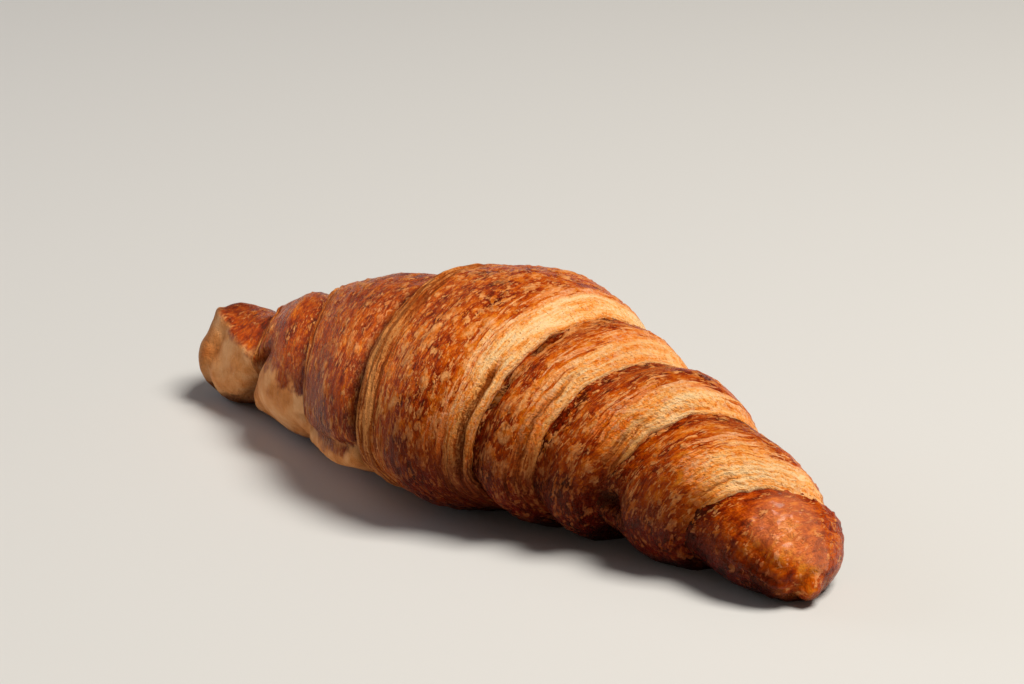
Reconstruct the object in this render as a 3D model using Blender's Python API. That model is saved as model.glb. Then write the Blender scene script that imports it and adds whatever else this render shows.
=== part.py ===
"""A butter croissant, baked from one rolled triangle of laminated dough.

It is one solid. The roll is a string of oval rings along X, and every wrap of
dough ends in a lip that stands proud of the wrap under it. The lips are the
slanted steps that run round the roll. Metres, +Z up, origin on the table
under the middle, +X towards the thin tip.
"""
import math

import bpy
import numpy as np

MM = 0.001

# The roll without its steps. Each row is one station along the length:
# place as a share of half the length, half width, height of the top.
HALF_LENGTH = 75.0
PROFILE = (
    (-1.00, 8.8, 18.0),
    (-0.86, 11.7, 18.1),
    (-0.72, 14.2, 21.9),
    (-0.58, 17.8, 27.4),
    (-0.36, 25.3, 32.7),
    (-0.10, 31.5, 37.9),
    (0.12, 27.8, 38.0),
    (0.40, 18.6, 33.0),
    (0.63, 14.0, 29.0),
    (0.84, 12.0, 19.6),
    (1.00, 8.0, 12.8),
)
WIDEST_AT = 0.43        # share of the height where a ring is widest
FAR_TIP_LIFT = 1.6      # the thick tip curls this far off the table
NEAR_TIP_LIFT = 0.4
TIP_CURL_FROM = 0.7     # share of half the length where the curl begins
END_ROUNDING = 0.07     # share of half the length that rounds each end off
BOW = -2.6              # sideways bend of the centre line at the tips
TWIST = 0.8             # one tip forward, the other back
BASE_SINK = 1.6         # how much of the round underside is baked flat
BASE_FULLNESS = 1.4     # exponent, over 1 is slimmer than an ellipse

# The edges of the wraps, from the thick tip to the thin one. Each is a ring
# in a slanted plane: middle place, slant across Y, slant up Z, step height.
LIPS = (
    (-59.0, -8.0, 2.0, 2.4),
    (-38.7, -12.0, -4.5, 1.7),
    (-13.0, -6.6, -2.0, 1.8),
    (15.2, 1.2, 1.8, 2.8),
    (28.6, 4.8, 2.2, 2.6),
    (42.6, 6.4, 6.2, 3.0),
    (59.9, 6.4, 4.4, 2.6),
)
CROWN_SEGMENT = 3       # the last wrap, with a lip at both ends
OVERHANG = 0.5          # how far a lip leans out over the next wrap
SUNK_SHARE = 0.50       # share of a step that lies under the plain roll
ROLL_OVER = 0.85        # share of the rise that the cut edge rolls down again
FRONT_EXTRA = 0.25      # the steps are this much higher in front than on top

# The mesh.
RING_POINTS = 56
COLUMNS = (0.0, 0.07, 0.16, 0.28, 0.42, 0.57, 0.71, 0.83, 0.93, 1.0)
TIP_COLUMNS = 10

CRUST_COLOUR = (0.42, 0.14, 0.03, 1.0)
CRUST_ROUGHNESS = 0.42


def smoothstep(low, high, value):
    """0 below low, 1 above high and an S-curve between."""
    t = np.clip((value - low) / (high - low), 0.0, 1.0)
    return t * t * (3.0 - 2.0 * t)


def smooth_curve(places, values, at):
    """A curve through the given points, with rounded slopes between them."""
    places = np.asarray(places)
    values = np.asarray(values)
    steps = np.diff(places)
    slopes = np.diff(values) / steps
    inner = np.where(
        slopes[1:] * slopes[:-1] > 0.0,
        2.0 * slopes[1:] * slopes[:-1] / (slopes[1:] + slopes[:-1] + 1e-12),
        0.0,
    )
    tangents = np.concatenate([slopes[:1], inner, slopes[-1:]])
    i = np.clip(np.searchsorted(places, at) - 1, 0, len(steps) - 1)
    t = (at - places[i]) / steps[i]
    start = (2 * t**3 - 3 * t**2 + 1) * values[i] + (t**3 - 2 * t**2 + t) * steps[i] * tangents[i]
    end = (3 * t**2 - 2 * t**3) * values[i + 1] + (t**3 - t**2) * steps[i] * tangents[i + 1]
    return start + end


def lip_place(lip, angle):
    """Where a lip stands along X, at each angle round the roll."""
    middle, slant_y, slant_z, _ = lip
    return middle + slant_y * np.cos(angle) + slant_z * np.sin(angle)


def shoulder(along):
    """A wrap near its lip: it swells, then its cut edge rolls down to the lip.

    along is 0 at the far end of the wrap and 1 at the lip.
    """
    swell = smoothstep(0.15, 0.58, along)
    roll = ROLL_OVER * smoothstep(0.50, 1.12, along)
    return (1.0 - SUNK_SHARE) * (swell - roll)


def tucked(along):
    """A wrap where it comes out from under its neighbour's lip, at along 0."""
    return -SUNK_SHARE * (1.0 - smoothstep(0.0, 0.5, along))


def step_height(segment, along, angle):
    """How far a wrap's surface stands off the plain roll.

    along runs from 0 at the thick-tip end of the wrap to 1 at its thin-tip
    end. A wrap starts sunk under its neighbour's lip, and rises to its own.
    """
    left_step = LIPS[segment - 1][3] if segment > 0 else 0.0
    right_step = LIPS[segment][3] if segment < len(LIPS) else 0.0
    left = shoulder(1.0 - along) if segment <= CROWN_SEGMENT else tucked(along)
    right = shoulder(along) if segment >= CROWN_SEGMENT else tucked(1.0 - along)
    front = 1.0 - FRONT_EXTRA * np.cos(angle)
    return (left_step * left + right_step * right) * front


def roll_point(x, height, angle):
    """A point of the roll's skin, height millimetres off the plain roll."""
    share = x / HALF_LENGTH
    stations, half_widths, tops = zip(*PROFILE)
    width = smooth_curve(stations, half_widths, share)
    top = smooth_curve(stations, tops, share)
    tip_lift = np.where(share < 0.0, FAR_TIP_LIFT, NEAR_TIP_LIFT)
    curl = np.clip((np.abs(share) - TIP_CURL_FROM) / (1.0 - TIP_CURL_FROM), 0.0, 1.0)
    bottom = tip_lift * curl**2
    middle = WIDEST_AT * top + (1.0 - WIDEST_AT) * bottom
    past = np.clip((np.abs(share) - 1.0 + END_ROUNDING) / END_ROUNDING, 0.0, 1.0)
    closing = np.sqrt(1.0 - past**2)
    cosine = np.cos(angle)
    sine = np.sin(angle)
    fullness = np.where(sine < 0.0, BASE_FULLNESS, 1.0)
    across = closing * (width + height) * np.sign(cosine) * np.abs(cosine) ** fullness
    bow = BOW * (share**2 - 0.33) + TWIST * share**3
    upper = top - middle + height
    lower = middle - bottom + BASE_SINK + height
    up = closing * np.where(sine >= 0.0, upper, lower) * sine
    return np.stack([x, bow + across, np.maximum(middle + up, 0.0)], axis=-1)


def wrap_span(segment, angle):
    """Where a wrap starts and ends along X, with its own lips leaning out."""
    if segment == 0:
        start = np.full_like(angle, -HALF_LENGTH)
    else:
        start = lip_place(LIPS[segment - 1], angle)
        if segment <= CROWN_SEGMENT:
            start = start - OVERHANG
    if segment == len(LIPS):
        end = np.full_like(angle, HALF_LENGTH)
    else:
        end = lip_place(LIPS[segment], angle)
        if segment >= CROWN_SEGMENT:
            end = end + OVERHANG
    return start, end


def wrap_shares(segment):
    """Where the rings of a wrap lie, closer together round the tips."""
    quarter = np.linspace(0.0, math.pi / 2, TIP_COLUMNS + 1)
    if segment == 0:
        return 1.0 - np.cos(quarter[1:])
    if segment == len(LIPS):
        return np.sin(quarter[:-1])
    return np.array(COLUMNS)


def roll_columns(angle):
    """The rings of the skin, from one tip to the other, as rows of points."""
    columns = []
    for segment in range(len(LIPS) + 1):
        start, end = wrap_span(segment, angle)
        for share in wrap_shares(segment):
            x = start + (end - start) * share
            height = step_height(segment, share, angle)
            columns.append(roll_point(x, height, angle))
    return columns


def croissant_mesh():
    """One closed skin: rings joined by quads, with a point at each tip."""
    angle = np.arange(RING_POINTS) * 2.0 * math.pi / RING_POINTS
    columns = roll_columns(angle)
    first_tip = columns[0].mean(axis=0)
    first_tip[0] = -HALF_LENGTH
    last_tip = columns[-1].mean(axis=0)
    last_tip[0] = HALF_LENGTH
    points = np.concatenate([*columns, first_tip[None], last_tip[None]]) * MM
    points[:, 1] -= (points[:, 1].min() + points[:, 1].max()) / 2
    faces = []
    for ring in range(len(columns) - 1):
        for i in range(RING_POINTS):
            j = (i + 1) % RING_POINTS
            here = ring * RING_POINTS
            there = here + RING_POINTS
            faces.append((here + i, here + j, there + j, there + i))
    first = len(points) - 2
    last_ring = (len(columns) - 1) * RING_POINTS
    for i in range(RING_POINTS):
        j = (i + 1) % RING_POINTS
        faces.append((first, j, i))
        faces.append((first + 1, last_ring + i, last_ring + j))
    mesh = bpy.data.meshes.new("croissant")
    mesh.from_pydata(points.tolist(), [], faces)
    mesh.shade_smooth()
    mesh.set_sharp_from_angle(angle=math.radians(50))
    mesh.update()
    return mesh


def crust_material():
    """Egg-washed crust, browned in the oven."""
    material = bpy.data.materials.new("browned crust")
    material.use_nodes = True
    shader = material.node_tree.nodes["Principled BSDF"]
    shader.inputs["Base Color"].default_value = CRUST_COLOUR
    shader.inputs["Roughness"].default_value = CRUST_ROUGHNESS
    shader.inputs["Metallic"].default_value = 0.0
    return material


def main():
    for item in list(bpy.data.objects):
        bpy.data.objects.remove(item)
    mesh = croissant_mesh()
    mesh.materials.append(crust_material())
    croissant = bpy.data.objects.new("croissant", mesh)
    bpy.context.scene.collection.objects.link(croissant)
    print("croissant:", len(mesh.vertices), "points,", len(mesh.polygons), "faces")


main()
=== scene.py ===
# %% [markdown]
# A butter croissant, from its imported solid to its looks. The solid says how big the croissant is and
# where it lies. This script lays a much finer skin over it, bakes the colours into a material and
# lights it on a pale table. Every length in the helpers is in millimetres, and only the last step of
# each mesh turns it into metres.

# %% Load the frame
import math

import bpy
import numpy as np
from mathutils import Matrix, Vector, noise


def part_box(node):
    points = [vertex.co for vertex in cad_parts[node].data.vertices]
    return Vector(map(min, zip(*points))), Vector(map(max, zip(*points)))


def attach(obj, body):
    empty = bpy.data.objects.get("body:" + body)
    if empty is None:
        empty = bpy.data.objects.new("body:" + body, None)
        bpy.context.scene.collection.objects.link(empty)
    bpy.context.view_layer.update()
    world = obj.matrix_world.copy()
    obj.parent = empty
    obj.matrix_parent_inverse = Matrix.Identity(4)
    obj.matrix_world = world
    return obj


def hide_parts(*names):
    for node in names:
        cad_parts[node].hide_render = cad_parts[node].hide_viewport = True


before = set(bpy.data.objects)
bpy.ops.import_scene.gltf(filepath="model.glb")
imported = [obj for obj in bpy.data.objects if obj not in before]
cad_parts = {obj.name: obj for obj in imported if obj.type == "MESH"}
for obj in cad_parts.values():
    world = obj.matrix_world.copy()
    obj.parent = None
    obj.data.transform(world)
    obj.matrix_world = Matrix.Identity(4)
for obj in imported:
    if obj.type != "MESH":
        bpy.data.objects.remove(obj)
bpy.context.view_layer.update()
MM = 0.001
low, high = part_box("croissant")
print("the packed croissant measures", [round((b - a) / MM, 1) for a, b in zip(low, high)], "mm")

# %% [markdown]
# The roll under the steps. A croissant is a string of oval rings, thick in the middle and slim at the
# tips. It could be sculpted by hand, but rings worked out from a handful of stations keep every wrap
# on the same body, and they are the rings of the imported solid, so the skin fits it without fitting.

# %% The plain roll
HALF_LENGTH = (high.x - low.x) / MM / 2
PROFILE = (
    (-1.00, 8.8, 18.0),
    (-0.86, 11.7, 18.1),
    (-0.72, 14.2, 21.9),
    (-0.58, 17.8, 27.4),
    (-0.36, 25.3, 32.7),
    (-0.10, 31.5, 37.9),
    (0.12, 27.8, 38.0),
    (0.40, 18.6, 33.0),
    (0.63, 14.0, 29.0),
    (0.84, 12.0, 19.6),
    (1.00, 8.0, 12.8),
)
WIDEST_AT = 0.43
FAR_TIP_LIFT = 1.6
NEAR_TIP_LIFT = 0.4
TIP_CURL_FROM = 0.7
END_ROUNDING = 0.07
BOW = -2.6
TWIST = 0.8
BASE_SINK = 1.6
BASE_FULLNESS = 1.4


def smoothstep(low_end, high_end, value):
    """0 below the low end, 1 above the high end and an S-curve between."""
    t = np.clip((value - low_end) / (high_end - low_end), 0.0, 1.0)
    return t * t * (3.0 - 2.0 * t)


def bell(centre, width, value):
    """1 at the centre, fading to 0 over the width."""
    return np.exp(-(((value - centre) / width) ** 2))


def smooth_curve(places, values, at):
    """A curve through the given points, with rounded slopes between them."""
    places = np.asarray(places)
    values = np.asarray(values)
    steps = np.diff(places)
    slopes = np.diff(values) / steps
    turning = slopes[1:] * slopes[:-1]
    inner = np.where(turning > 0.0, 2.0 * turning / (slopes[1:] + slopes[:-1] + 1e-12), 0.0)
    tangents = np.concatenate([slopes[:1], inner, slopes[-1:]])
    i = np.clip(np.searchsorted(places, at) - 1, 0, len(steps) - 1)
    t = (at - places[i]) / steps[i]
    start = (2 * t**3 - 3 * t**2 + 1) * values[i] + (t**3 - 2 * t**2 + t) * steps[i] * tangents[i]
    end = (3 * t**2 - 2 * t**3) * values[i + 1] + (t**3 - t**2) * steps[i] * tangents[i + 1]
    return start + end


def roll_point(x, height, angle):
    """A point of the skin, height millimetres off the plain roll. Angle 0 is at the back, 90 on top."""
    share = np.clip(x / HALF_LENGTH, -1.0, 1.0)
    stations, half_widths, tops = zip(*PROFILE)
    width = smooth_curve(stations, half_widths, share)
    top = smooth_curve(stations, tops, share)
    tip_lift = np.where(share < 0.0, FAR_TIP_LIFT, NEAR_TIP_LIFT)
    curl = np.clip((np.abs(share) - TIP_CURL_FROM) / (1.0 - TIP_CURL_FROM), 0.0, 1.0)
    bottom = tip_lift * curl**2
    middle = WIDEST_AT * top + (1.0 - WIDEST_AT) * bottom
    past = np.clip((np.abs(share) - 1.0 + END_ROUNDING) / END_ROUNDING, 0.0, 1.0)
    closing = np.sqrt(1.0 - past**2)
    cosine = np.cos(angle)
    sine = np.sin(angle)
    fullness = np.where(sine < 0.0, BASE_FULLNESS, 1.0)
    across = closing * (width + height) * np.sign(cosine) * np.abs(cosine) ** fullness
    bow = BOW * (share**2 - 0.33) + TWIST * share**3
    upper = top - middle + height
    lower = middle - bottom + BASE_SINK + height
    up = closing * np.where(sine >= 0.0, upper, lower) * sine
    return np.stack([x, bow + across, middle + up], axis=-1)


# %% [markdown]
# The wraps. The dough is rolled from its wide end, so every wrap covers the one before it and its cut
# edge stands out as a lip. From the thick tip to the thin one there are seven lips. They are rings in
# slanted planes, because the triangle's edge climbs along the roll as it goes round. A lip is ragged,
# so noise moves it a little along the roll.

# %% The lips
LIPS = (
    (-59.0, -8.0, 2.0, 2.4),
    (-38.7, -12.0, -4.5, 1.7),
    (-13.0, -6.6, -2.0, 1.8),
    (15.2, 1.2, 1.8, 2.8),
    (28.6, 4.8, 2.2, 2.6),
    (42.6, 6.4, 6.2, 3.0),
    (59.9, 6.4, 4.4, 2.6),
)
CROWN = 3
OVERHANG = 0.5
SUNK_SHARE = 0.50
ROLL_OVER = 0.85
FRONT_EXTRA = 0.25
RAGGED = 0.45


def noise_at(points, scale, seed, octaves=1):
    """Smooth noise from about -1 to 1 at each point. scale is in cells per millimetre, one per axis."""
    shift = np.array([17.3, 5.9, 11.1]) * seed
    cells = np.asarray(points).reshape(-1, 3) * np.asarray(scale) + shift
    if octaves == 1:
        values = [noise.noise(Vector(cell)) for cell in cells]
    else:
        values = [noise.fractal(Vector(cell), 0.9, 2.0, octaves) for cell in cells]
    return np.array(values).reshape(np.asarray(points).shape[:-1])


def lip_place(lip, angle):
    """Where a lip stands along X, at each angle round the roll."""
    middle, slant_y, slant_z, _ = LIPS[lip]
    return middle + slant_y * np.cos(angle) + slant_z * np.sin(angle)


def ragged(lip, angle):
    """How far the torn edge of a lip wanders from its plane."""
    ring = np.stack([20.0 * np.cos(angle), 20.0 * np.sin(angle), 0.0 * angle], axis=-1)
    slow = noise_at(ring, (0.22, 0.22, 0.0), lip + 1)
    quick = noise_at(ring, (0.50, 0.50, 0.0), lip + 9)
    return RAGGED * (slow + 0.5 * quick)


def shoulder(along):
    """A wrap near its lip: it swells, then its cut edge rolls down to the lip, at along 1."""
    swell = smoothstep(0.15, 0.58, along)
    roll = ROLL_OVER * smoothstep(0.50, 1.12, along)
    return (1.0 - SUNK_SHARE) * (swell - roll)


def tucked(along):
    """A wrap where it comes out from under its neighbour's lip, at along 0."""
    return -SUNK_SHARE * (1.0 - smoothstep(0.0, 0.5, along))


def step_height(wrap, along, angle):
    """How far a wrap's surface stands off the plain roll, along it from the thick-tip end to the other."""
    left_step = LIPS[wrap - 1][3] if wrap > 0 else 0.0
    right_step = LIPS[wrap][3] if wrap < len(LIPS) else 0.0
    left = shoulder(1.0 - along) if wrap <= CROWN else tucked(along)
    right = shoulder(along) if wrap >= CROWN else tucked(1.0 - along)
    return (left_step * left + right_step * right) * (1.0 - FRONT_EXTRA * np.cos(angle))


# %% [markdown]
# The cut edges. Where the knife cut the dough, its layers show as a pale band between the glazed crust
# and the lip. The band is widest on top, where the dough swelled most, and narrow at the sides. Two
# lengths tell every later step where it is: how far a point lies inside the cut, and how far from the
# lip. The first is kept as a mesh attribute, so the material can tear the border with fine noise.

# %% The bands
BAND_WIDTHS = (
    (1.0, 0.4, 90.0, 270.0),
    (1.2, 0.6, 90.0, 270.0),
    (3.7, 1.0, 150.0, 270.0),
    (5.4, 1.7, 90.0, 270.0),
    (2.2, 4.9, 76.0, 230.0),
    (1.3, 5.6, 120.0, 171.0),
    (2.7, 5.5, 104.0, 165.0),
)
MELTING = 24.0
FAR = 30.0


def melted(lip, angle):
    """1 low in front, where a cut edge has melted into the next wrap, and 0 elsewhere."""
    end = BAND_WIDTHS[lip][3]
    turn = np.degrees(angle)
    return smoothstep(end - MELTING, end, turn) * smoothstep(290.0, 270.0, turn)


def band_width(lip, angle):
    """Width of the cut edge at a lip: a narrow part all round, and an extra part round its widest angle."""
    side, extra, widest, _ = BAND_WIDTHS[lip]
    width = side + extra * np.clip(np.cos(angle - math.radians(widest)), 0.0, 1.0) ** 2
    return width * (1.0 - melted(lip, angle)) - 1.5 * melted(lip, angle)


# %% [markdown]
# Where the egg wash ends. The glaze was brushed on from above, so the low flanks stay pale, and at the
# thick tip the brush missed most of the side that faces the front.

# %% The raw flank
WASH_ENDS_FRONT = (
    (-1.00, 100.0),
    (-0.92, 115.0),
    (-0.80, 136.0),
    (-0.70, 156.0),
    (-0.64, 163.0),
    (-0.58, 165.0),
    (-0.49, 170.0),
    (-0.40, 177.0),
    (-0.32, 189.0),
    (-0.27, 193.0),
    (-0.13, 194.0),
    (-0.08, 205.0),
    (-0.05, 245.0),
    (0.30, 290.0),
    (1.00, 290.0),
)
WASH_ENDS_BACK = -30.0
NEVER = 70.0


def unwashed(x, angle):
    """Degrees past the edge of the egg wash: above 0 is bare dough."""
    shares, limits = zip(*WASH_ENDS_FRONT)
    turn = np.degrees(angle)
    turn = np.where(turn > 270.0, turn - 360.0, turn)
    front = turn - smooth_curve(shares, limits, np.clip(x / HALF_LENGTH, -1.0, 1.0))
    tip = 60.0 * smoothstep(-0.75, -1.0, x / HALF_LENGTH)
    thin_half = NEVER * smoothstep(0.0, 0.3, x / HALF_LENGTH)
    back = WASH_ENDS_BACK + tip - thin_half - turn
    return np.maximum(front, back)


# %% [markdown]
# The skin. It is a grid: columns run round the roll and rows run along it. Columns follow the slanted
# lips, so each lip is a clean edge of the grid, and they crowd towards the lips, where the shape
# changes fastest. Rows crowd towards the top. Under each lip a few extra columns turn back in, which
# makes a real overhang with a thin dark gap behind it, as between two layers of baked dough.

# %% Grid of the skin
COLUMNS = (36, 48, 62, 76, 38, 40, 46, 46)
ROWS = 236
ROW_CROWDING = 0.28
COLUMN_CROWDING = 0.5
UNDER_LIP = ((0.22, 0.16), (0.25, 0.46), (-0.05, 0.84), (-0.55, 1.0))
TUCK_BACK = 0.9
GAP = 0.30
CRUMB = 0.06
WRAP_OFFSET = 60.0

turns = np.arange(ROWS) / ROWS
ANGLE = 2.0 * math.pi * turns + ROW_CROWDING * np.cos(2.0 * math.pi * turns)


def wrap_shares(wrap):
    """Shares of a wrap's width where its columns lie."""
    count = COLUMNS[wrap]
    if wrap == 0:
        return 1.0 - np.cos(np.linspace(0.0, math.pi / 2, count + 1)[1:])
    if wrap == len(LIPS):
        return np.sin(np.linspace(0.0, math.pi / 2, count + 1)[:-1])
    even = np.linspace(0.0, 1.0, count)
    return even - COLUMN_CROWDING * np.sin(2.0 * math.pi * even) / (2.0 * math.pi)


def wrap_span(wrap):
    """Start and end of a wrap along X, at every row."""
    start = np.full(ROWS, -HALF_LENGTH)
    end = np.full(ROWS, HALF_LENGTH)
    if wrap > 0:
        start = lip_place(wrap - 1, ANGLE)
        start = start - OVERHANG - ragged(wrap - 1, ANGLE) if wrap <= CROWN else start - TUCK_BACK
    if wrap < len(LIPS):
        end = lip_place(wrap, ANGLE)
        end = end + OVERHANG + ragged(wrap, ANGLE) if wrap >= CROWN else end + TUCK_BACK
    return start, end


def plain_wrap(wrap):
    """The bare grid of a wrap: places, step heights, and lengths for the relief and the material."""
    start, end = wrap_span(wrap)
    share = wrap_shares(wrap)[:, None]
    x = start + (end - start) * share
    angle = np.broadcast_to(ANGLE, x.shape)
    left, right = x - start, end - x
    cut = np.full_like(x, -FAR)
    lip = np.full_like(x, FAR)
    if 0 < wrap <= CROWN:
        cut = np.maximum(cut, band_width(wrap - 1, angle) - left)
        lip = np.minimum(lip, left)
    if CROWN <= wrap < len(LIPS):
        cut = np.maximum(cut, band_width(wrap, angle) - right)
        lip = np.minimum(lip, right)
    tuck = right if wrap < CROWN else left
    return {
        "x": x,
        "angle": angle,
        "height": step_height(wrap, share, angle),
        "across": share * (end - start).mean() + WRAP_OFFSET * wrap,
        "cut": cut,
        "lip": lip,
        "tuck": np.full_like(x, FAR) if wrap == CROWN else tuck,
        "wrap": np.full_like(x, wrap),
    }


def add_under_lip(grid, wrap, at_start):
    """Extra columns that turn in under the lip, at the start or the end of the wrap."""
    side = 0 if at_start else -1
    outwards = -1.0 if at_start else 1.0
    lip = wrap - 1 if at_start else wrap
    sunk = LIPS[lip][3] * SUNK_SHARE * (1.0 - FRONT_EXTRA * np.cos(ANGLE))
    ring = np.stack([20.0 * np.cos(ANGLE), 20.0 * np.sin(ANGLE), 0.0 * ANGLE], axis=-1)
    gap = GAP * (0.8 + 1.2 * noise_at(ring, (0.35, 0.35, 0.0), lip + 21))
    drop = np.maximum(grid["height"][side] + sunk - gap, GAP)
    order = UNDER_LIP[::-1] if at_start else UNDER_LIP
    for name, values in list(grid.items()):
        extra = np.repeat(values[side][None], len(order), axis=0)
        if name == "x":
            crumbs = np.stack([noise_at(ring, (0.9, 0.9, 0.0), 30 + lip + 7 * i) for i in range(len(order))])
            extra = extra + outwards * (np.array([out for out, _ in order])[:, None] + CRUMB * crumbs)
        if name == "height":
            extra = extra - drop * np.array([fall for _, fall in order])[:, None]
        if name == "across":
            extra = extra + outwards * np.array([out + 2.0 * fall for out, fall in order])[:, None]
        grid[name] = np.concatenate([extra, values] if at_start else [values, extra])
    return grid


def whole_grid():
    """All wraps joined from tip to tip, one array per quantity."""
    parts = []
    for wrap in range(len(LIPS) + 1):
        part = plain_wrap(wrap)
        part["across"] = np.broadcast_to(part["across"], part["x"].shape)
        if 0 < wrap <= CROWN:
            part = add_under_lip(part, wrap, True)
        if CROWN <= wrap < len(LIPS):
            part = add_under_lip(part, wrap, False)
        parts.append(part)
    return {name: np.concatenate([part[name] for part in parts]) for name in parts[0]}


grid = whole_grid()
x, angle, lip, cut, tuck = (grid[name] for name in ("x", "angle", "lip", "cut", "tuck"))
turn = np.degrees(angle)
plain = roll_point(x, np.zeros_like(x), angle)
stepped = roll_point(x, grid["height"], angle)
sideways = (stepped[..., 1].min() + stepped[..., 1].max()) / 2
sheet = np.stack([grid["across"], plain[..., 1], plain[..., 2]], axis=-1)
print("the grid has", x.shape[0], "columns and", ROWS, "rows, moved", round(-sideways, 2), "mm along Y")

# %% [markdown]
# The relief. Baked dough is never smooth, and each kind of unevenness has its own scale: slow lumps
# over the whole body, wrinkles that run round the wrap, thin plies in the cut band, and flat blisters
# on the glaze. Noise in sheet coordinates, which follow the wraps, gives all of them the right
# direction. They are worked into the mesh, because a bump map would leave the outline bare.

# %% Lumps, wrinkles, plies and blisters
LUMP = 0.55
FAR_TIP_LUMP = 1.0
DENT = 0.24
WRINKLE = 0.13
FINE_WRINKLE = 0.05
CRINKLE = 0.085
PLY = 0.14
LEFT_PLY = 2.6
PLY_LENGTH = 1.5
SKIN_STEP = 0.20
BLISTER = 0.17
LARGE_BLISTERS = (-0.20, -0.14, 0.02, 0.05, 0.09, -0.10, -0.10, -0.30)
SMALL_BLISTERS = (-0.20, -0.16, -0.01, 0.06, 0.04, 0.04, 0.05, -0.12)
LEFT_SINK = (0.9, 0.9, 1.9)
LEFT_SWELL = 0.75
DROOP = (0.0, 0.0, 0.05, 0.10, 0.36, 0.40, 0.36)
TOP_DROOP = 0.24
DROOP_WIDTH = 3.4
MELTED_DROOP = 0.85
TIP_CRINKLE = 0.38


def lumps():
    """Slow unevenness of the whole body, stronger at the thick tip."""
    far_tip = smoothstep(-50.0, -66.0, x)
    slow = noise_at(plain, (1 / 15,) * 3, 3)
    middle = noise_at(plain, (1 / 6.5,) * 3, 4)
    return (LUMP + FAR_TIP_LUMP * far_tip) * slow + (DENT + 0.35 * far_tip) * middle


def plies():
    """Thin layers of the cut band, from -1 in a slot to 1 on an edge. They run along the lip."""
    drift = 1.8 * noise_at(sheet, (1 / 8, 1 / 14, 1 / 14), 5)
    wave = np.sin(2.0 * math.pi * (lip + drift) / PLY_LENGTH)
    streak = noise_at(sheet, (1 / 1.0, 1 / 13, 1 / 13), 6)
    crumb = noise_at(sheet, (1 / 1.1, 1 / 2.2, 1 / 2.2), 16)
    return np.clip(0.35 * wave + 1.0 * streak + 0.35 * crumb, -1.0, 1.0)


def bubbles_at(points, scale, seed, radius):
    """Rounded spots strewn over the sheet, above 0 inside a spot. The radius is in cells."""
    cells = np.asarray(points).reshape(-1, 3) * np.asarray(scale) + np.array([3.7, 8.1, 5.3]) * seed
    nearest = [noise.voronoi(Vector(cell))[0][0] for cell in cells]
    return radius - np.array(nearest).reshape(points.shape[:-1])


def blister_noise():
    """Signed height of the blister field: above 0 the glaze is lifted off the dough."""
    bend = 0.5 * np.stack([noise_at(sheet, (1 / 1.6, 1 / 2.2, 1 / 2.2), seed) for seed in (41, 42, 43)], axis=-1)
    bent = sheet + bend * np.array([1.0, 1.6, 1.6])
    wrap = grid["wrap"].astype(int)
    large = bubbles_at(bent, (1 / 3.0, 1 / 4.6, 1 / 4.6), 1, 0.27) + np.array(LARGE_BLISTERS)[wrap]
    small = bubbles_at(bent, (1 / 1.4, 1 / 2.6, 1 / 2.6), 2, 0.23) + np.array(SMALL_BLISTERS)[wrap]
    patch = 0.16 * noise_at(sheet, (1 / 9, 1 / 11, 1 / 11), 9)
    return np.maximum(large, small) + patch


def droop():
    """How far a cut edge sags towards its lip, so that it melts into the next wrap."""
    nearest = np.where(grid["wrap"] < CROWN + 0.5, grid["wrap"] - (x < 0.0), grid["wrap"]).astype(int)
    nearest = np.clip(nearest, 0, len(LIPS) - 1)
    steps = np.array([row[3] for row in LIPS])[nearest]
    share = np.array(DROOP)[nearest] + TOP_DROOP * (nearest == CROWN) * smoothstep(112.0, 92.0, turn)
    gone = np.select([nearest == i for i in range(len(LIPS))], [melted(i, angle) for i in range(len(LIPS))])
    share = share + (MELTED_DROOP - share) * gone * (grid["wrap"] > CROWN)
    return share * steps * smoothstep(DROOP_WIDTH, 0.0, lip)


ply = plies()
blister = blister_noise()
edge_noise = 0.9 * noise_at(sheet, (1 / 1.4, 1 / 7.0, 1 / 7.0), 10)
band = smoothstep(-0.35, 0.35, cut + edge_noise)
raw = unwashed(x, angle)
glaze = (1.0 - band) * smoothstep(3.0, -3.0, raw)
calm = smoothstep(0.0, 1.6, tuck)

left_side = grid["wrap"] < CROWN
left_sink = np.array(LEFT_SINK)[np.clip(grid["wrap"], 0, CROWN - 1).astype(int)] * left_side
left_swell = LEFT_SWELL * (grid["wrap"] == CROWN) * (x < 0.0) * bell(1.6, 2.6, lip)
relief = lumps() - droop() - left_sink * bell(0.8, 3.0, tuck) + left_swell
relief += calm * WRINKLE * noise_at(sheet, (1 / 1.9, 1 / 8, 1 / 8), 11)
relief += calm * FINE_WRINKLE * noise_at(sheet, (1 / 0.8, 1 / 4, 1 / 4), 12)
relief += calm * CRINKLE * noise_at(sheet, (1 / 1.3, 1 / 1.9, 1 / 1.9), 17)
tip_crinkle = 0.5 - 2.2 * np.abs(noise_at(sheet, (1 / 1.7, 1 / 4.0, 1 / 4.0), 18))
tip_crinkle += 0.7 - 2.2 * np.abs(noise_at(sheet, (1 / 1.2, 1 / 2.6, 1 / 2.6), 22))
relief += TIP_CRINKLE * tip_crinkle * smoothstep(61.0, 66.0, x)
relief += band * (PLY * ply * np.where(x < 0.0, LEFT_PLY, 1.0) - SKIN_STEP)
relief += calm * glaze * BLISTER * smoothstep(-0.03, 0.08, blister)
print("relief from", round(float(relief.min()), 2), "to", round(float(relief.max()), 2), "mm")

# %% [markdown]
# The marks that only this croissant has. Its widest band is torn open in front: a porous strip of
# crumb, and beside it a thin flap that stands up along the lip. The crease behind it gapes on the
# upper front. Other bands have a dotted seam, where two plies parted in the oven. There is a deep
# pocket between two wraps low in front, a small knob where the thin tip was pinched off, a soft fold
# across the thin tip, and at the thick tip the loose end of the dough hangs down in a pale lobe.

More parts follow.
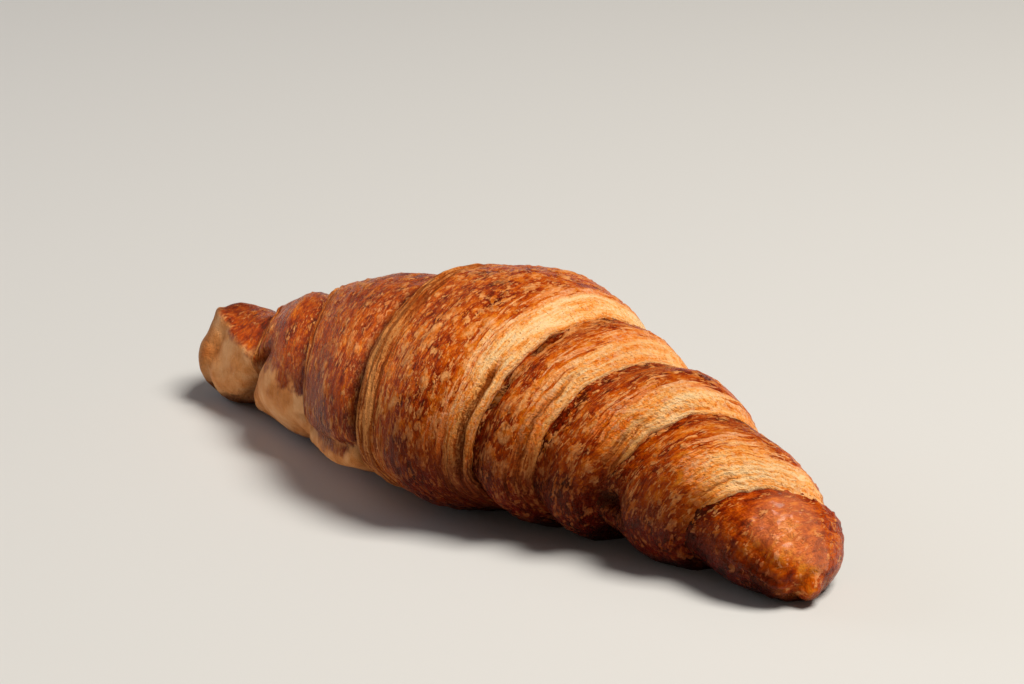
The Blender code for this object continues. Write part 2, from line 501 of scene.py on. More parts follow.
# %% Single marks
GROOVE_DEPTH = 0.85
FLAP_HEIGHT = 0.65
GAPE_DEPTH = 1.6
SEAM_DEPTH = 0.35
PORE_DEPTH = 0.35
POCKET_DEPTH = 2.6
CRUMB_EDGE_HEIGHT = 0.7
KNOB_CENTRE = (74.2, -4.0, 3.2)
KNOB_PUSH = (1.1, -0.8, -0.6)
FOLD_DEPTH = 0.35
LOBE_HEIGHT = 1.5
LOBE_CREASE = 2.0
RIDGE_HEIGHT = 1.1
TAIL_HEIGHT = 1.4
TAIL_CREASE = 0.9
END_FOLD_DEPTH = 1.0


def between(start, end, fade, value):
    """1 between start and end, fading to 0 outside over the fade."""
    return smoothstep(start - fade, start, value) * smoothstep(end + fade, end, value)


wobble = 0.35 * noise_at(sheet, (0.0, 1 / 4, 1 / 4), 13)
crown_front = (grid["wrap"] == CROWN) * (x > 0.0) * between(142.0, 184.0, 14.0, turn)
groove = crown_front * bell(1.80, 0.80, lip + wobble)
flap = crown_front * bell(0.4, 0.45, lip + wobble)
broken = np.clip(0.5 + 1.6 * noise_at(sheet, (0.0, 1 / 4.5, 1 / 4.5), 14), 0.0, 1.0)
gape = (grid["wrap"] == CROWN + 1) * between(100.0, 150.0, 12.0, turn) * bell(1.8, 0.7, tuck + wobble) * broken
swept = (grid["wrap"] == CROWN + 1) * between(84.0, 140.0, 14.0, turn) * bell(2.6, 0.9, tuck + wobble)
later_bands = (grid["wrap"] > CROWN) * between(128.0, 168.0, 12.0, turn)
seam = later_bands * bell(1.7, 0.32, lip + 1.3 * wobble)
pocket = bell(37.6, 2.9, x) * bell(190.0, 10.0, turn)
crumb_edge = (grid["wrap"] > CROWN + 1) * bell(42.8, 1.3, x + 0.06 * (turn - 181.0)) * bell(180.0, 13.0, turn)
knob_distance = np.linalg.norm(plain - np.array(KNOB_CENTRE), axis=-1)
knob = smoothstep(3.0, 0.9, knob_distance)
knob_groove = bell(3.5, 0.8, knob_distance) * smoothstep(60.0, 68.0, x)
along_tip = turn - 1.6 * (x - 66.0) + 9.0 * noise_at(plain, (1 / 4,) * 3, 20)
fold = (bell(190.0, 3.5, along_tip) + 0.8 * bell(176.0, 3.0, along_tip) + 0.6 * bell(160.0, 3.0, along_tip))
fold = fold * between(63.5, 72.0, 3.0, x)
lobe = 0.6 * bell(-58.0, 4.5, x) * bell(172.0, 18.0, turn) + 0.7 * bell(-42.0, 4.5, x) * bell(180.0, 14.0, turn)
lobe_crease = bell(-49.0, 2.2, x + 0.18 * (turn - 163.0)) * between(156.0, 208.0, 12.0, turn)
ridge = bell(3.0, 7.0, raw) * smoothstep(-46.0, -52.0, x) * smoothstep(178.0, 160.0, turn)
hollow = bell(34.0, 17.0, raw) * smoothstep(-56.0, -64.0, x) * smoothstep(215.0, 180.0, turn)
crown_shadow = (grid["wrap"] == CROWN - 1) * smoothstep(5.6, 3.2, tuck + wobble)
end_fold = bell(-67.0, 1.3, x + 0.05 * (turn - 170.0)) * between(135.0, 215.0, 20.0, turn)
tail = bell(203.0, 7.0, turn) * between(-29.0, -12.0, 5.0, x)
tail_crease = bell(192.0, 3.5, turn) * between(-30.0, -11.0, 4.0, x)
blister += 0.4 * swept + 0.5 * crumb_edge
# Painted shade: this mark darkens the colour in the groove, the gape, the crease beside the crown, the pocket, the
# knob's groove, a seam, the folds, the creases of the lobe and the tail, the end fold and the far end. In the
# groove it is also the darker crumb.
painted_crease_shade = np.clip(0.40 * groove + 1.1 * gape + 1.1 * crown_shadow + 1.2 * pocket + 0.4 * knob_groove, 0.0, 1.0)
painted_crease_shade = np.clip(painted_crease_shade + 0.42 * seam * (grid["wrap"] == CROWN + 1) + 0.12 * fold + 0.9 * lobe_crease + 0.45 * tail_crease
              + 0.6 * smoothstep(-66.5, -71.5, x) + 0.2 * end_fold, 0.0, 1.0)
porous = np.clip(groove + 0.35 * seam, 0.0, 1.0)
pores = np.clip(2.0 * noise_at(sheet, (1 / 0.8, 1 / 1.3, 1 / 1.3), 19), 0.0, 1.0)

relief += FLAP_HEIGHT * flap - GROOVE_DEPTH * groove - GAPE_DEPTH * gape - SEAM_DEPTH * seam
relief += CRUMB_EDGE_HEIGHT * crumb_edge - PORE_DEPTH * pores * porous
relief -= 0.8 * knob_groove + POCKET_DEPTH * pocket + FOLD_DEPTH * fold
relief += LOBE_HEIGHT * lobe - LOBE_CREASE * lobe_crease + RIDGE_HEIGHT * (ridge - hollow)
relief += TAIL_HEIGHT * tail - TAIL_CREASE * tail_crease - END_FOLD_DEPTH * end_fold
print("marks reach", round(float(painted_crease_shade.sum())), "grid points")

# %% [markdown]
# The mesh. Every grid point is moved off the roll by its step and its relief, and what would sink
# through the table is pressed flat on it, as dough is on a tray. The grid becomes quads, and a
# single point closes each tip. The lengths found above go along as attributes of the points.


# %% One closed skin
def skin_points():
    """All points of the skin in metres, with a last point at each tip."""
    points = roll_point(x, grid["height"] + relief, angle) + np.array(KNOB_PUSH) * knob[..., None]
    points[..., 1] -= sideways
    points[..., 2] = np.maximum(points[..., 2], 0.0)
    far_tip = points[0].mean(axis=0)
    far_tip[0] = -HALF_LENGTH
    near_tip = points[-1].mean(axis=0)
    near_tip[0] = HALF_LENGTH
    return np.concatenate([points.reshape(-1, 3), far_tip[None], near_tip[None]]) * MM


def skin_faces(columns):
    """Quads between neighbouring columns, and a fan of triangles at each tip."""
    faces = []
    for column in range(columns - 1):
        here = column * ROWS
        there = here + ROWS
        for row in range(ROWS):
            after = (row + 1) % ROWS
            faces.append((here + row, here + after, there + after, there + row))
    far_tip = columns * ROWS
    last = (columns - 1) * ROWS
    for row in range(ROWS):
        after = (row + 1) % ROWS
        faces.append((far_tip, after, row))
        faces.append((far_tip + 1, last + row, last + after))
    return faces


def keep(mesh, name, values):
    """Stores one number per grid point on the mesh. The two tips take the mean of their ring."""
    ends = [values[0].mean(), values[-1].mean()]
    attribute = mesh.attributes.new(name, "FLOAT", "POINT")
    attribute.data.foreach_set("value", np.concatenate([values.ravel(), ends]).astype(np.float32))


def keep_vector(mesh, name, values):
    """Stores one vector per grid point on the mesh."""
    ends = [values[0].mean(axis=0), values[-1].mean(axis=0)]
    attribute = mesh.attributes.new(name, "FLOAT_VECTOR", "POINT")
    attribute.data.foreach_set("vector", np.concatenate([values.reshape(-1, 3), ends]).astype(np.float32).ravel())


TOP_BROWN = (0.42, 0.28, 0.22, 0.06, 0.18, 0.26, 0.28, 0.06)

# The cut edge is palest on top. Low in front it is darker, as painted shade, and it is also darker on
# the lips that face the thick tip.
last_bands = grid["wrap"] > CROWN + 1
first_band = grid["wrap"] == CROWN
gold_and_painted_shade = smoothstep(205.0, 108.0, turn + 10.0 * last_bands - 14.0 * first_band) * np.where(x > 0.0, 1.0, 0.22)
gold_and_painted_shade *= 1.0 - 0.30 * (grid["wrap"] == CROWN + 1) * smoothstep(125.0, 95.0, turn)
gold_and_painted_shade *= 1.0 - 0.95 * np.clip(groove + 0.6 * seam, 0.0, 1.0)
# Painted shade: the flanks are darker towards the tray, less on the crown's left part and on the wrap
# beside it, and not on the thin tip.
# On top each wrap has browned on its own.
painted_flank_shade = smoothstep(0.80, -0.25, np.sin(angle)) * (1.0 - 0.85 * smoothstep(69.0, 73.0, x))
painted_flank_shade *= np.where(grid["wrap"] == CROWN - 1, 0.50, 1.0)
painted_flank_shade *= 1.0 - 0.55 * (grid["wrap"] == CROWN) * smoothstep(4.0, -3.0, x)
top_brown = np.array(TOP_BROWN)[grid["wrap"].astype(int)] * smoothstep(0.82, 0.98, np.sin(angle))
left_margin = 0.40 * (grid["wrap"] == CROWN) * (x < 0.0) * smoothstep(5.5, 4.0, lip)
# The darkening below is the largest of real browning on top, the darker left margin of the crown and the groove,
# and the painted shade of the flanks.
browned_and_painted_shade = np.maximum(np.maximum(painted_flank_shade, top_brown), np.maximum(left_margin, 0.35 * groove))
# Where the dough was stretched thin the glaze stays orange: at the thin tip and beside the crown. On the
# upper front of the thin tip it is also painted light, which makes the glaze lighter and its blisters pinker.
orange_and_tip_light = smoothstep(64.0, 71.0, x) * bell(150.0, 45.0, turn)
orange_and_tip_light += 0.45 * (grid["wrap"] == CROWN - 1) * bell(128.0, 24.0, turn) * smoothstep(14.0, 5.0, tuck)

# The wash dried to a thin clear film on the thin tip and on the side that faces the thick tip. It is a
# real coat, and it also tints the colour pink there as a painted sheen.
film_and_pink_sheen = 0.36 * smoothstep(63.0, 67.0, x) * between(95.0, 140.0, 22.0, turn)
film_and_pink_sheen += 0.06 * smoothstep(8.0, -4.0, x) * between(95.0, 195.0, 20.0, turn)

skin = bpy.data.meshes.new("croissant_skin")
skin.from_pydata(skin_points(), [], skin_faces(x.shape[0]))
skin.shade_smooth()
keep_vector(skin, "sheet", sheet)
for name, values in (("cut", cut), ("tuck", tuck), ("ply", ply), ("blister", blister),
                     ("raw", raw), ("painted_crease_shade", painted_crease_shade), ("gold_and_painted_shade", gold_and_painted_shade), ("porous", porous), ("browned_and_painted_shade", browned_and_painted_shade), ("orange_and_tip_light", orange_and_tip_light),
                     ("film_and_pink_sheen", film_and_pink_sheen)):
    keep(skin, name, values)
keep(skin, "height", plain[..., 2])
croissant = bpy.data.objects.new("croissant_skin", skin)
bpy.context.scene.collection.objects.link(croissant)
print("the skin has", len(skin.polygons), "faces")

# %% [markdown]
# Node helpers. The crust is one material, because glaze, cut edge and bare dough are one skin that
# changes colour from place to place. Such a tree has many small steps, so a few helpers write them in
# one line each: a helper adds its node, sets it up and gives back the output to link on.


# %% Nodes in one line
def add(tree, kind, inputs=None, **settings):
    """Adds a node with its settings. Each input gets either a value or a link from another output."""
    made = tree.nodes.new("ShaderNode" + kind)
    for name, value in settings.items():
        setattr(made, name, value)
    for key, value in (inputs or {}).items():
        if isinstance(value, bpy.types.NodeSocket):
            tree.links.new(value, made.inputs[key])
        else:
            made.inputs[key].default_value = value
    return made


def maths(tree, operation, *values):
    """A Math node, such as ADD or MULTIPLY."""
    return add(tree, "Math", dict(enumerate(values)), operation=operation).outputs[0]


def weighted(tree, *pairs):
    """Sum of values, each times its weight."""
    total = 0.0
    for value, weight in pairs:
        total = maths(tree, "MULTIPLY_ADD", value, weight, total)
    return total


def soft_step(tree, value, low_end, high_end):
    """0 below the low end, 1 above the high end, smooth between."""
    ends = {"Value": value, "From Min": low_end, "From Max": high_end}
    return add(tree, "MapRange", ends, interpolation_type="SMOOTHSTEP").outputs["Result"]


def blend_colour(tree, factor, first, second):
    """A colour that goes from the first to the second as the factor goes from 0 to 1."""
    made = add(tree, "Mix", {0: factor}, data_type="RGBA")
    for key, value in ((6, first), (7, second)):
        if isinstance(value, bpy.types.NodeSocket):
            tree.links.new(value, made.inputs[key])
        else:
            made.inputs[key].default_value = (*value, 1.0)
    return made.outputs[2]


def tinted(tree, colour, tint):
    """A colour multiplied by another."""
    inputs = {0: 1.0, 6: colour, 7: tint}
    return add(tree, "Mix", inputs, data_type="RGBA", blend_type="MULTIPLY").outputs[2]


def colour_ramp(tree, factor, stops):
    """A colour ramp with stops of (place, colour)."""
    made = add(tree, "ValToRGB", {"Fac": factor})
    elements = made.color_ramp.elements
    while len(elements) < len(stops):
        elements.new(0.5)
    for element, (place, colour) in zip(elements, stops):
        element.position = place
        element.color = (*colour, 1.0)
    return made.outputs["Color"]


def stored(tree, name, output="Fac"):
    """An attribute that the mesh carries."""
    return add(tree, "Attribute", attribute_name=name).outputs[output]


# %% [markdown]
# Two effects come back all over the crust. One is streaks: dough that was stretched round the roll
# leaves long marks that way, and the noise for them is squeezed across the wrap. The other is a torn
# edge: where glaze meets cut dough, or a blister meets glaze, the border is frayed, never a clean
# line. Each is a node group, built once and used with other numbers in each place.


# %% Two groups
def new_group(name, inputs, output):
    """An empty group with its sockets, and its input and output nodes."""
    group = bpy.data.node_groups.new(name, "ShaderNodeTree")
    for socket, kind in inputs:
        group.interface.new_socket(socket, in_out="INPUT", socket_type=kind)
    group.interface.new_socket(output, in_out="OUTPUT", socket_type="NodeSocketFloat")
    return group, group.nodes.new("NodeGroupInput"), group.nodes.new("NodeGroupOutput")


def streaks_group():
    """Noise in sheet coordinates. Across and Along are its cells per millimetre."""
    sockets = (("Sheet", "NodeSocketVector"), ("Across", "NodeSocketFloat"), ("Along", "NodeSocketFloat"),
               ("Detail", "NodeSocketFloat"))
    group, start, end = new_group("Streaks", sockets, "Value")
    cells = {"X": start.outputs["Across"], "Y": start.outputs["Along"], "Z": start.outputs["Along"]}
    scale = add(group, "CombineXYZ", cells).outputs[0]
    place = add(group, "VectorMath", {0: start.outputs["Sheet"], 1: scale}, operation="MULTIPLY").outputs[0]
    texture = {"Vector": place, "Scale": 1.0, "Detail": start.outputs["Detail"], "Roughness": 0.6}
    value = add(group, "TexNoise", texture).outputs["Fac"]
    wider = soft_step(group, value, 0.25, 0.75)
    group.links.new(wider, end.inputs["Value"])
    return group


def torn_edge_group(streaks):
    """A mask that is 1 where the distance is over 0, with a frayed border. All lengths are in mm."""
    sockets = (("Distance", "NodeSocketFloat"), ("Sheet", "NodeSocketVector"), ("Across", "NodeSocketFloat"),
               ("Along", "NodeSocketFloat"), ("Wander", "NodeSocketFloat"), ("Softness", "NodeSocketFloat"))
    group, start, end = new_group("Torn edge", sockets, "Mask")
    fray = group.nodes.new("ShaderNodeGroup")
    fray.node_tree = streaks
    for socket in ("Sheet", "Across", "Along"):
        group.links.new(start.outputs[socket], fray.inputs[socket])
    fray.inputs["Detail"].default_value = 3.0
    centred = maths(group, "SUBTRACT", fray.outputs["Value"], 0.5)
    moved = maths(group, "MULTIPLY_ADD", centred, start.outputs["Wander"], start.outputs["Distance"])
    inside = maths(group, "MULTIPLY", start.outputs["Softness"], -1.0)
    mask = soft_step(group, moved, inside, start.outputs["Softness"])
    group.links.new(mask, end.inputs["Mask"])
    return group


STREAKS = streaks_group()
TORN_EDGE = torn_edge_group(STREAKS)


def streaks(tree, sheet_place, across, along, detail=2.0):
    """Places the streaks group with its own scale."""
    made = add(tree, "Group", node_tree=STREAKS)
    tree.links.new(sheet_place, made.inputs["Sheet"])
    made.inputs["Across"].default_value = across
    made.inputs["Along"].default_value = along
    made.inputs["Detail"].default_value = detail
    return made.outputs["Value"]


def torn_edge(tree, distance, sheet_place, across, along, wander, softness):
    """Places the torn edge group on a signed distance."""
    made = add(tree, "Group", node_tree=TORN_EDGE)
    tree.links.new(distance, made.inputs["Distance"])
    tree.links.new(sheet_place, made.inputs["Sheet"])
    for socket, value in (("Across", across), ("Along", along), ("Wander", wander), ("Softness", softness)):
        made.inputs[socket].default_value = value
    return made.outputs["Mask"]


print("built the groups", STREAKS.name, "and", TORN_EDGE.name)

# %% [markdown]
# The crust. Egg wash browns to a deep red-brown where it lies thick and close to the heat, and to
# orange where the dough under it was stretched thin. Blisters lift off and bake to a matt tan. The
# cut band never got any wash, so its plies stay gold, with browner lines where a ply stands up. The
# low flank is bare dough. Each finish has its own ramp, and masks lay one over the other. Over them
# lies painted shade in the creases, the gaps between plies and on the low flanks, painted light on
# the thin tip, a painted pink sheen and a painted warm bounce on the front of the bands.

# %% Crust colours
GLAZE = (
    (0.18, (0.085, 0.0045, 0.0002)),
    (0.35, (0.260, 0.0180, 0.0004)),
    (0.50, (0.455, 0.0540, 0.0006)),
    (0.65, (0.650, 0.1090, 0.0012)),
    (0.85, (0.850, 0.2500, 0.0180)),
)
BLISTER_SKIN = (
    (0.20, (0.760, 0.1850, 0.0120)),
    (0.80, (0.980, 0.4400, 0.1500)),
)
CUT_EDGE = (
    (0.22, (0.560, 0.1000, 0.0060)),
    (0.44, (0.850, 0.2300, 0.0230)),
    (0.66, (0.980, 0.4250, 0.1130)),
    (0.94, (1.000, 0.6500, 0.3200)),
)
# Browned edge, also used as painted shade low in front.
BROWNED_AND_SHADED_EDGE = (
    (0.38, (0.200, 0.0240, 0.0020)),
    (0.56, (0.480, 0.1100, 0.0150)),
    (0.78, (0.880, 0.3700, 0.1100)),
)
BARE_DOUGH = (
    (0.10, (0.600, 0.1850, 0.0420)),
    (0.45, (0.820, 0.3250, 0.1000)),
    (0.85, (0.950, 0.4800, 0.2050)),
)
# Painted warm bounce light.
PAINTED_WARM_BOUNCE = (0.980, 0.700, 0.4000)
STRETCHED_PINK = (0.800, 0.270, 0.1200)
# Pink tint, also used as a painted pink sheen.
PINK_TINT_AND_PAINTED_SHEEN = (0.920, 0.330, 0.1500)
BASE_BROWN = (0.150, 0.028, 0.0025)
PALE_FLAKES = (1.000, 0.7400, 0.4700)
# Painted shade in the gaps between plies.
PLY_GAP_SHADE = (0.270, 0.0500, 0.0040)
PORE_BROWN = (0.400, 0.080, 0.0040)
# Painted shade for the creases, gaps, folds and the far end.
PAINTED_CREASE_SHADE = (0.050, 0.009, 0.0010)
# Browning and painted shade, multiplied into the colour.
BROWNING_AND_PAINTED_SHADE = (0.165, 0.030, 0.0100)


def ridge_line(tree, value, centre, width):
    """1 where the value is at the centre, fading to 0 on both sides: an outline drawn by smooth noise."""
    away = maths(tree, "ABSOLUTE", maths(tree, "SUBTRACT", value, centre))
    return soft_step(tree, away, width, 0.0)


def glaze_colour(tree, sheet_place, cut_in, tucked_in):
    """Browned egg wash, darkened by painted shade just past a crease, lighter towards the cut band."""
    long_streak = streaks(tree, sheet_place, 0.75, 0.13, 2.0)
    mottle = streaks(tree, sheet_place, 0.16, 0.12, 2.0)
    cloud = streaks(tree, sheet_place, 0.45, 0.30, 2.0)
    fine = streaks(tree, sheet_place, 2.0, 0.9, 2.0)
    # Painted shade: the glaze is darker just past a crease, under the neighbour's lip.
    crease = soft_step(tree, tucked_in, 6.0, 0.6)
    stretched = soft_step(tree, cut_in, -4.0, 0.5)
    toast = weighted(tree, (long_streak, 0.24), (mottle, 0.22), (cloud, 0.28), (fine, 0.25), (crease, -0.17),
                     (stretched, 0.13))
    # On the thin tip the lighter tone is painted light.
    thin = maths(tree, "MULTIPLY_ADD", stored(tree, "orange_and_tip_light"), 0.17, -0.02)
    return colour_ramp(tree, maths(tree, "ADD", toast, thin), GLAZE)


def blister_colour(tree, sheet_place, orange_and_tip_light_in):
    """Matt tan skin of a blister, pinker where the dough was stretched thin and on the thin tip, where the pink is
    a painted sheen.
    """
    tan = colour_ramp(tree, streaks(tree, sheet_place, 1.1, 0.7, 2.0), BLISTER_SKIN)
    return blend_colour(tree, maths(tree, "MULTIPLY", orange_and_tip_light_in, 0.8), tan, PINK_TINT_AND_PAINTED_SHEEN)


def cut_edge_colour(tree, sheet_place, ply_in, cut_in, gold_and_shade_in):
    """Gold plies, pink where stretched next to the glaze. Low in front: painted shade and a painted warm bounce."""
    fine = streaks(tree, sheet_place, 2.2, 0.20, 3.0)
    crumb = soft_step(tree, streaks(tree, sheet_place, 2.4, 1.7, 3.0), 0.18, 0.50)
    broad = streaks(tree, sheet_place, 0.55, 0.06, 2.0)
    inner = soft_step(tree, cut_in, -0.5, 3.0)
    tone = weighted(tree, (fine, 0.46), (crumb, 0.17), (broad, 0.42), (ply_in, 0.08), (inner, 0.16))
    pale = colour_ramp(tree, tone, CUT_EDGE)
    pinker = maths(tree, "MULTIPLY", soft_step(tree, cut_in, 2.6, 0.2), streaks(tree, sheet_place, 1.1, 0.10))
    pale = blend_colour(tree, maths(tree, "MULTIPLY", pinker, 0.8), pale, STRETCHED_PINK)
    # Painted light: low in front the band's colour is tinted by a painted warm bounce.
    warm_bounce_tint = blend_colour(tree, soft_step(tree, gold_and_shade_in, 0.45, 1.0), PAINTED_WARM_BOUNCE, (1.0, 1.0, 1.0))
    warm = tinted(tree, pale, warm_bounce_tint)
    # Where the band lies low in front it takes the darker ramp as painted shade. The lips that face the thick tip,
    # the groove and the seams take it too.
    colour = blend_colour(tree, soft_step(tree, gold_and_shade_in, 0.05, 0.50), colour_ramp(tree, tone, BROWNED_AND_SHADED_EDGE), warm)
    # Painted shade in the gaps between plies, where the band is low in front and on the darker lips.
    ply_gap_shade = soft_step(tree, streaks(tree, sheet_place, 1.35, 0.085, 2.0), 0.53, 0.66)
    ply_gap_shade = maths(tree, "MULTIPLY", ply_gap_shade, soft_step(tree, gold_and_shade_in, 0.80, 0.30))
    colour = blend_colour(tree, maths(tree, "MULTIPLY", ply_gap_shade, 0.75), colour, PLY_GAP_SHADE)
    flakes = soft_step(tree, streaks(tree, sheet_place, 1.6, 0.95, 2.0), 0.57, 0.68)
    flakes = maths(tree, "MULTIPLY", flakes, soft_step(tree, gold_and_shade_in, 0.15, 0.80))
    return blend_colour(tree, maths(tree, "MULTIPLY", flakes, 0.26), colour, PALE_FLAKES)


def bare_dough_colour(tree, sheet_place):
    """Pale dough that saw neither wash nor tray."""
    slow = streaks(tree, sheet_place, 0.20, 0.14, 2.0)
    tone = weighted(tree, (slow, 0.75), (streaks(tree, sheet_place, 0.9, 0.6), 0.25))
    return colour_ramp(tree, tone, BARE_DOUGH)


def speck_mask(tree, sheet_place, blister_in):
    """Small light specks, short threads and thin bubble outlines between the blisters."""
    crowd = maths(tree, "MULTIPLY", blister_in, 0.34)
    specks = maths(tree, "ADD", streaks(tree, sheet_place, 1.2, 0.60, 2.0), crowd)
    threads = maths(tree, "ADD", streaks(tree, sheet_place, 2.6, 0.75, 1.0), crowd)
    close = soft_step(tree, blister_in, -0.60, -0.20)
    bubbles = streaks(tree, sheet_place, 0.70, 0.42, 1.0)
    where = soft_step(tree, streaks(tree, sheet_place, 0.28, 0.20, 1.0), 0.45, 0.70)
    dots = soft_step(tree, specks, 0.68, 0.75)
    lines = soft_step(tree, threads, 0.68, 0.79)
    outlines = maths(tree, "MULTIPLY", ridge_line(tree, bubbles, 0.55, 0.06), where)
    thin = maths(tree, "MAXIMUM", maths(tree, "MULTIPLY", lines, 0.62), maths(tree, "MULTIPLY", outlines, 0.45))
    return maths(tree, "MULTIPLY", maths(tree, "MAXIMUM", maths(tree, "MULTIPLY", dots, 0.80), thin), close)


def crust_material():
    """The whole skin of the croissant."""
    material = bpy.data.materials.new("baked_crust")
    material.use_nodes = True
    tree = material.node_tree
    shader = tree.nodes["Principled BSDF"]
    sheet_place = stored(tree, "sheet", "Vector")
    cut_in, raw_in, tucked_in = stored(tree, "cut"), stored(tree, "raw"), stored(tree, "tuck")
    up, painted_crease_shade_in, blister_in = stored(tree, "height"), stored(tree, "painted_crease_shade"), stored(tree, "blister")

    band_mask = torn_edge(tree, cut_in, sheet_place, 1.2, 0.12, 5.0, 0.40)
    raw_mask = torn_edge(tree, raw_in, sheet_place, 0.30, 0.24, 15.0, 5.0)
    blister_mask = torn_edge(tree, blister_in, sheet_place, 1.6, 1.1, 0.12, 0.035)
    blister_rim = ridge_line(tree, blister_in, 0.02, 0.06)
    base_mask = torn_edge(tree, maths(tree, "SUBTRACT", 3.2, up), sheet_place, 0.25, 0.25, 3.0, 1.2)
    specks = speck_mask(tree, sheet_place, blister_in)
    pore_noise = streaks(tree, sheet_place, 2.6, 2.2, 1.0)
    pore_level = maths(tree, "MULTIPLY_ADD", stored(tree, "porous"), -0.40, pore_noise)
    pore_mask = maths(tree, "MULTIPLY", soft_step(tree, pore_level, 0.10, -0.02), band_mask)

    washed = glaze_colour(tree, sheet_place, cut_in, tucked_in)
    # Painted sheen: the film tints the glaze pink, strongly on the thin tip and faintly on the side that faces the
    # thick tip.
    washed = blend_colour(tree, maths(tree, "MULTIPLY", stored(tree, "film_and_pink_sheen"), 0.80), washed, PINK_TINT_AND_PAINTED_SHEEN)
    tan = blister_colour(tree, sheet_place, stored(tree, "orange_and_tip_light"))
    filled = soft_step(tree, streaks(tree, sheet_place, 0.22, 0.16, 1.0), 0.30, 0.60)
    fill = maths(tree, "MULTIPLY_ADD", filled, 0.52, 0.30)
    blisters = maths(tree, "MAXIMUM", maths(tree, "MULTIPLY", blister_mask, fill),
                     maths(tree, "MULTIPLY", blister_rim, 0.55))
    light_spots = maths(tree, "MAXIMUM", blisters, specks)
    colour = blend_colour(tree, light_spots, washed, tan)
    plies_colour = cut_edge_colour(tree, sheet_place, stored(tree, "ply"), cut_in, stored(tree, "gold_and_painted_shade"))
    colour = blend_colour(tree, band_mask, colour, plies_colour)
    colour = blend_colour(tree, raw_mask, colour, bare_dough_colour(tree, sheet_place))
    colour = blend_colour(tree, maths(tree, "MULTIPLY", pore_mask, 0.75), colour, PORE_BROWN)
    colour = blend_colour(tree, maths(tree, "MULTIPLY", base_mask, 0.85), colour, BASE_BROWN)
    # Painted shade darkens the creases, gaps, folds and the far end.
    colour = blend_colour(tree, maths(tree, "MULTIPLY", painted_crease_shade_in, 0.75), colour, PAINTED_CREASE_SHADE)
    # The colour is darkened by real browning and by the painted shade of the flanks. Bare dough, the lit top of the
    # band and light specks are partly kept out of it.
    shielded = maths(tree, "MULTIPLY", stored(tree, "gold_and_painted_shade"), 0.55)
    unbaked = maths(tree, "MAXIMUM", raw_mask, maths(tree, "MULTIPLY", band_mask, shielded))
    darker = maths(tree, "MULTIPLY", stored(tree, "browned_and_painted_shade"), maths(tree, "SUBTRACT", 1.0, unbaked))
    darker = maths(tree, "MULTIPLY", darker, maths(tree, "MULTIPLY_ADD", specks, -0.26, 1.0))
    shade = blend_colour(tree, darker, (1.0, 1.0, 1.0), BROWNING_AND_PAINTED_SHADE)
    tree.links.new(tinted(tree, colour, shade), shader.inputs["Base Color"])

    matt = maths(tree, "MAXIMUM", band_mask, raw_mask)
    rough = weighted(tree, (matt, 0.32), (light_spots, 0.14), (streaks(tree, sheet_place, 0.6, 0.3), 0.16))
    tree.links.new(maths(tree, "ADD", rough, 0.20), shader.inputs["Roughness"])
    shine = maths(tree, "MULTIPLY", stored(tree, "film_and_pink_sheen"), maths(tree, "SUBTRACT", 1.0, matt))
    tree.links.new(shine, shader.inputs["Coat Weight"])
    shader.inputs["Coat Roughness"].default_value = 0.24
    shader.inputs["Coat IOR"].default_value = 1.40
    shader.inputs["Specular IOR Level"].default_value = 0.22
    shader.inputs["Specular Tint"].default_value = (1.0, 0.42, 0.12, 1.0)

    grain = streaks(tree, sheet_place, 3.4, 2.6, 3.0)
    blebs = streaks(tree, sheet_place, 1.5, 0.9, 2.0)
    fibres = streaks(tree, sheet_place, 2.6, 0.45, 2.0)
    crumbly = maths(tree, "MULTIPLY", streaks(tree, sheet_place, 1.9, 1.5, 2.0), band_mask)
    bumps = weighted(tree, (grain, 0.50), (fibres, 0.50), (blebs, 0.90), (light_spots, 0.70), (crumbly, 0.60))
    bump = add(tree, "Bump", {"Strength": 0.65, "Distance": 0.00030, "Height": bumps})
    tree.links.new(bump.outputs["Normal"], shader.inputs["Normal"])
    return material


skin.materials.append(crust_material())
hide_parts("croissant")
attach(croissant, "root")
print("the crust has", len(skin.materials[0].node_tree.nodes), "nodes")

# %% [markdown]
# The stage. A plain pale floor shows the true colours of food. It is one large plane, so that its
# edge stays out of every picture taken from above.

# %% Floor
FLOOR_HALF = 3.0
FLOOR_COLOUR = (0.68, 0.68, 0.68)


def pale_floor():
    """A wide plane at the height of the table."""
    mesh = bpy.data.meshes.new("floor")
    corners = [(-1, -1), (1, -1), (1, 1), (-1, 1)]
    mesh.from_pydata([(a * FLOOR_HALF, b * FLOOR_HALF, 0.0) for a, b in corners], [], [(0, 1, 2, 3)])
    material = bpy.data.materials.new("pale_floor")
    material.use_nodes = True
    shader = material.node_tree.nodes["Principled BSDF"]
    shader.inputs["Base Color"].default_value = (*FLOOR_COLOUR, 1.0)
    shader.inputs["Roughness"].default_value = 0.8
    mesh.materials.append(material)
    floor = bpy.data.objects.new("floor", mesh)
    bpy.context.scene.collection.objects.link(floor)
    return floor


floor = pale_floor()
print("the floor is", 2 * FLOOR_HALF, "m wide")

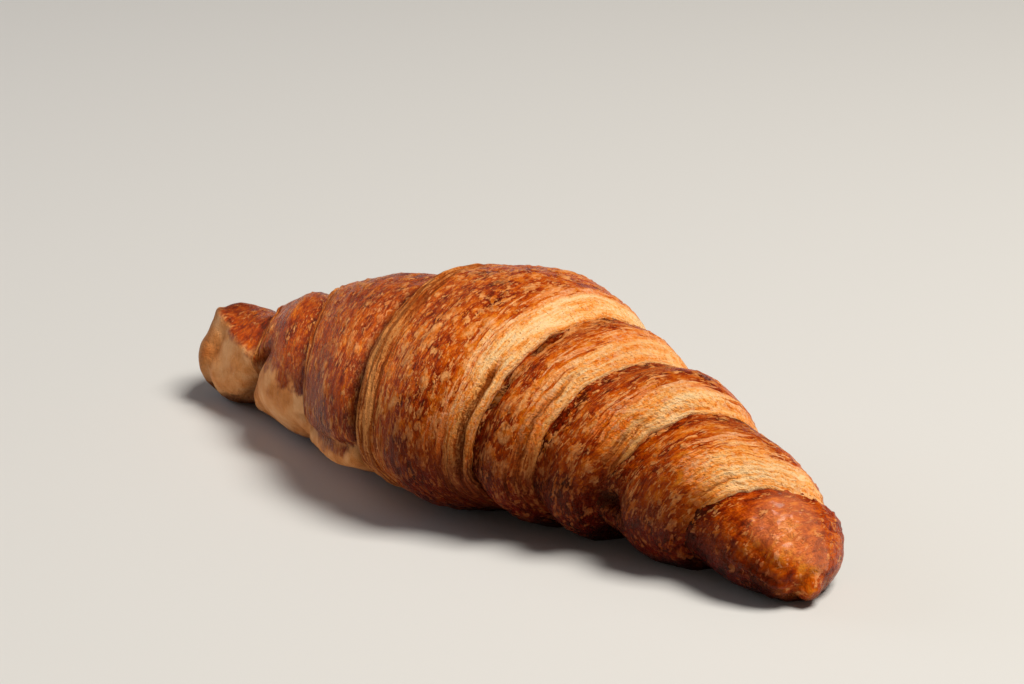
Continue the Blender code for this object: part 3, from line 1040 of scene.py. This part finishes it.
# %% [markdown]
# The light. Crust shows best under a large soft light from behind and above: it rakes over the wraps,
# so that every lip has a bright top and a dark crease. A weak cool light from the front left keeps
# the near side readable and gives the glaze its sheen.

# %% Studio light
AIM = Vector((0.0, 0.0, 0.02))


def soft_light(name, place, width, power, colour):
    """A square area light that looks at the croissant."""
    light = bpy.data.lights.new(name, "AREA")
    light.shape = "SQUARE"
    light.size = width
    light.energy = power
    light.color = colour
    lamp = bpy.data.objects.new(name, light)
    lamp.location = place
    lamp.rotation_euler = (AIM - lamp.location).to_track_quat("-Z", "Y").to_euler()
    bpy.context.scene.collection.objects.link(lamp)
    return lamp


def pale_world(strength):
    """An even, almost white surrounding."""
    world = bpy.data.worlds.new("studio")
    world.use_nodes = True
    background = world.node_tree.nodes["Background"]
    background.inputs["Color"].default_value = (1.0, 0.91, 0.81, 1.0)
    background.inputs["Strength"].default_value = strength
    bpy.context.scene.world = world


soft_light("key", (0.46, 0.16, 1.06), 0.50, 15.8, (1.0, 0.945, 0.85))
soft_light("fill", (-0.85, -0.30, 0.40), 0.60, 1.6, (0.87, 0.90, 1.0))
pale_world(0.095)
bpy.context.scene.view_settings.view_transform = "Standard"
print("two lights and a pale world")

# %% [markdown]
# The camera. It looks down on the croissant from the front right, past the thin tip. A long lens
# keeps the two tips in proportion, as from half a metre away.

# %% Camera
AZIMUTH = math.radians(42.53)
ELEVATION = math.radians(20.71)
DISTANCE = 508.88
TARGET = Vector((2.12, -sideways, 27.96))
LENS = 98.4

back = Vector((
    math.sin(AZIMUTH) * math.cos(ELEVATION),
    -math.cos(AZIMUTH) * math.cos(ELEVATION),
    math.sin(ELEVATION),
))
camera_data = bpy.data.cameras.new("camera")
camera_data.sensor_width = 36.0
camera_data.lens = LENS
camera_data.clip_start = 0.01
camera = bpy.data.objects.new("camera", camera_data)
camera.location = (TARGET + DISTANCE * back) * MM
camera.rotation_euler = (-back).to_track_quat("-Z", "Y").to_euler()
bpy.context.scene.collection.objects.link(camera)
bpy.context.scene.camera = camera
print("the camera stands at", [round(value, 3) for value in camera.location])
